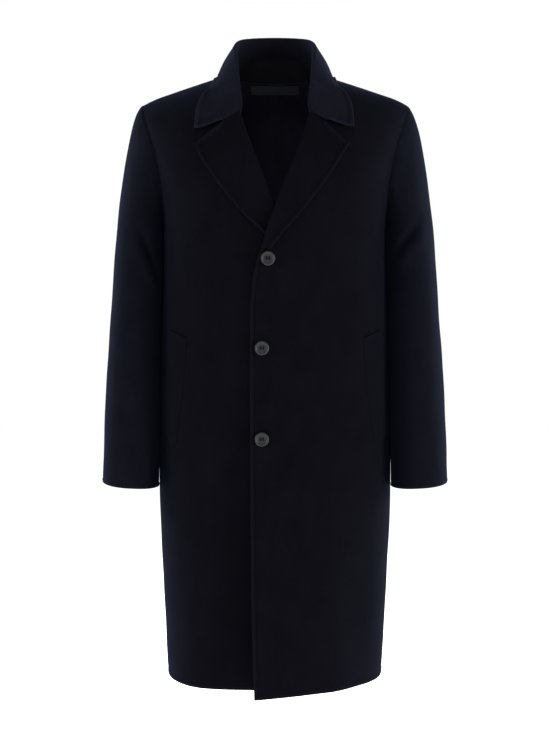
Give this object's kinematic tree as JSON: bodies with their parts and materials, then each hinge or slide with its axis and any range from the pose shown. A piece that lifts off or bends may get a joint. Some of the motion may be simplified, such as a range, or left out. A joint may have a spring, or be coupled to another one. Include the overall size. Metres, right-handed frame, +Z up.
{
  "type": "overcoat",
  "caption": "Knee-length single-breasted wool overcoat with notched lapels, buttoned front and slanted welt pockets, held hollow in its worn shape.",
  "frame": {"origin": "between the shoulders at the level of the neck points, where a wearer carries the coat", "axes": "+Z up along the coat's length, the buttoned front faces -Y, +X is the wearer's left"},
  "size_m": [0.5698, 0.317, 1.0726],
  "materials": {
    "navy_wool": "soft brushed matt wool",
    "dark_horn": "satin",
    "label_satin": "woven satin"
  },
  "bodies": {
    "root": {"front_left": "navy_wool", "front_right": "navy_wool", "back_left": "navy_wool", "back_right": "navy_wool", "topsleeve_left": "navy_wool", "topsleeve_right": "navy_wool", "undersleeve_left": "navy_wool", "undersleeve_right": "navy_wool", "lapel_left": "navy_wool", "lapel_right": "navy_wool", "pocket_welt_left": "navy_wool", "pocket_welt_right": "navy_wool", "collar_stand": "navy_wool", "collar_leaf": "navy_wool", "button_top": "dark_horn", "button_middle": "dark_horn", "button_bottom": "dark_horn", "neck_label": "label_satin"}
  },
  "joints": []
}
